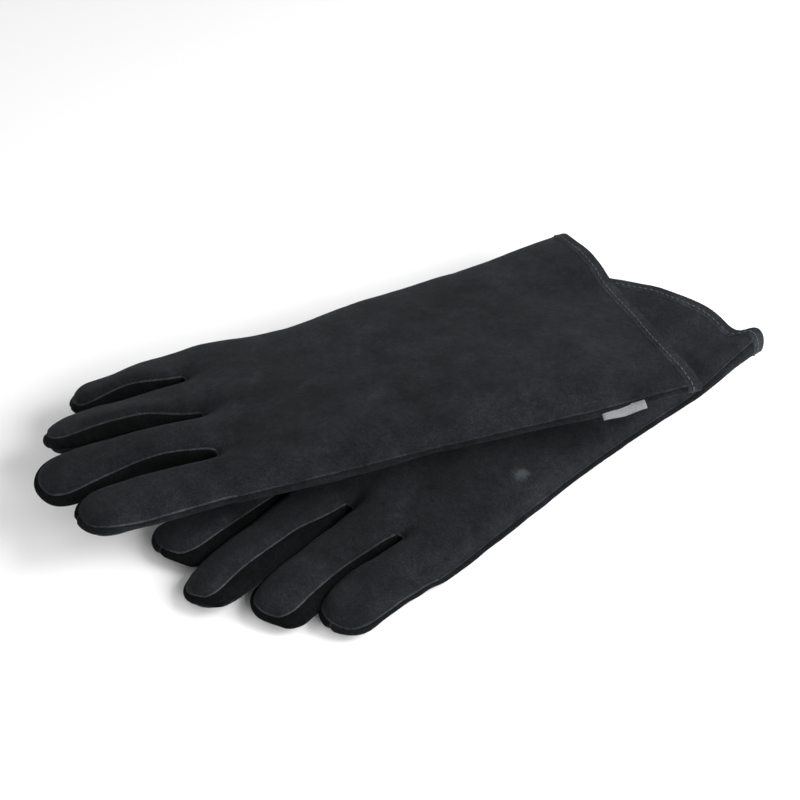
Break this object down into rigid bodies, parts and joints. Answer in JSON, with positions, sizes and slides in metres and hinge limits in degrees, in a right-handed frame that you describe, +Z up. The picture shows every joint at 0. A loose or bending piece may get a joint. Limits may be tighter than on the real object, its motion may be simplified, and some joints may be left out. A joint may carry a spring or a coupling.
{
  "type": "heat resistant glove pair",
  "caption": "Pair of long black suede gauntlet gloves for fires and hot cookware, lying one across the other, with jointed fingers and thumbs and a lift-off upper glove.",
  "frame": {"origin": "on the table, under the middle of the pair's bounding box", "axes": "+X from the lower (left) glove's finger tips to its cuff, along its length; +Y towards its thumb side; +Z up, out of the backs of both gloves"},
  "size_m": [0.396, 0.2698, 0.0614],
  "materials": {
    "back_suede": "fine short nap, near-black, slightly paler where brushed",
    "palm_suede": "fine short nap, near-black",
    "gusset_suede": "fine short nap, near-black",
    "seam_suede": "cut leather edge, worn paler",
    "binding_suede": "folded and stitched suede",
    "lining": "brushed quilted cotton",
    "thread": "twisted sewing thread",
    "label": "flat woven tape, blank"
  },
  "bodies": {
    "left_hand": {"left_back_panel": "back_suede", "left_palm_panel": "palm_suede", "left_hand_lining": "lining", "left_cuff_lining": "lining", "left_cuff_binding": "binding_suede", "left_hem_stitching": "thread", "left_side_welts": "seam_suede", "left_crotch_gussets": "gusset_suede", "left_side_label": "label"},
    "left_pinky": {"left_pinky_back": "back_suede", "left_pinky_front": "palm_suede", "left_pinky_gusset": "gusset_suede", "left_pinky_lining": "lining"},
    "left_ring": {"left_ring_back": "back_suede", "left_ring_front": "palm_suede", "left_ring_gusset": "gusset_suede", "left_ring_lining": "lining"},
    "left_middle": {"left_middle_back": "back_suede", "left_middle_front": "palm_suede", "left_middle_gusset": "gusset_suede", "left_middle_lining": "lining"},
    "left_index": {"left_index_back": "back_suede", "left_index_front": "palm_suede", "left_index_gusset": "gusset_suede", "left_index_lining": "lining"},
    "left_thumb": {"left_thumb_back": "back_suede", "left_thumb_front": "palm_suede", "left_thumb_lining": "lining"},
    "right_hand": {"right_back_panel": "back_suede", "right_palm_panel": "palm_suede", "right_hand_lining": "lining", "right_cuff_lining": "lining", "right_cuff_binding": "binding_suede", "right_hem_stitching": "thread", "right_side_welts": "seam_suede", "right_crotch_gussets": "gusset_suede", "right_side_label": "label"},
    "right_pinky": {"right_pinky_back": "back_suede", "right_pinky_front": "palm_suede", "right_pinky_gusset": "gusset_suede", "right_pinky_lining": "lining"},
    "right_ring": {"right_ring_back": "back_suede", "right_ring_front": "palm_suede", "right_ring_gusset": "gusset_suede", "right_ring_lining": "lining"},
    "right_middle": {"right_middle_back": "back_suede", "right_middle_front": "palm_suede", "right_middle_gusset": "gusset_suede", "right_middle_lining": "lining"},
    "right_index": {"right_index_back": "back_suede", "right_index_front": "palm_suede", "right_index_gusset": "gusset_suede", "right_index_lining": "lining"},
    "right_thumb": {"right_thumb_back": "back_suede", "right_thumb_front": "palm_suede", "right_thumb_lining": "lining"}
  },
  "joints": [
    {"name": "right_glove_lift", "type": "slide", "parent": "left_hand", "child": "right_hand", "axis": [0, 0, 1], "range_m": [0, 0.15]},
    {"name": "left_thumb_swing", "type": "hinge", "parent": "left_hand", "child": "left_thumb", "pos_m": [0.07296, 0.04333, 0], "axis": [0, 0, -1], "range_deg": [0, 25]},
    {"name": "left_index_fold", "type": "hinge", "parent": "left_hand", "child": "left_index", "pos_m": [-0.06424, 0.01793, 0.02], "axis": [0, 1, 0], "range_deg": [0, 7]},
    {"name": "left_middle_fold", "type": "hinge", "parent": "left_hand", "child": "left_middle", "pos_m": [-0.06424, -0.01577, 0.02], "axis": [0, 1, 0], "range_deg": [0, 12]},
    {"name": "left_ring_fold", "type": "hinge", "parent": "left_hand", "child": "left_ring", "pos_m": [-0.06424, -0.04937, 0.02], "axis": [0, 1, 0], "range_deg": [0, 50]},
    {"name": "left_pinky_fold", "type": "hinge", "parent": "left_hand", "child": "left_pinky", "pos_m": [-0.06424, -0.08307, 0.02], "axis": [0, 1, 0], "range_deg": [0, 50]},
    {"name": "right_thumb_swing", "type": "hinge", "parent": "right_hand", "child": "right_thumb", "pos_m": [0.0109, -0.05143, 0.02583], "axis": [0.0437, 0.0968, 0.9943], "range_deg": [0, 22]},
    {"name": "right_index_fold", "type": "hinge", "parent": "right_hand", "child": "right_index", "pos_m": [-0.1128, 0.008, 0.05625], "axis": [0.4092, 0.9062, -0.1063], "range_deg": [0, 55]},
    {"name": "right_middle_fold", "type": "hinge", "parent": "right_hand", "child": "right_middle", "pos_m": [-0.09901, 0.03854, 0.05267], "axis": [0.4092, 0.9062, -0.1063], "range_deg": [-8, 55]},
    {"name": "right_ring_fold", "type": "hinge", "parent": "right_hand", "child": "right_ring", "pos_m": [-0.08526, 0.06899, 0.0491], "axis": [0.4092, 0.9062, -0.1063], "range_deg": [-12, 55]},
    {"name": "right_pinky_fold", "type": "hinge", "parent": "right_hand", "child": "right_pinky", "pos_m": [-0.07147, 0.09953, 0.04552], "axis": [0.4092, 0.9062, -0.1063], "range_deg": [-12, 55]}
  ]
}
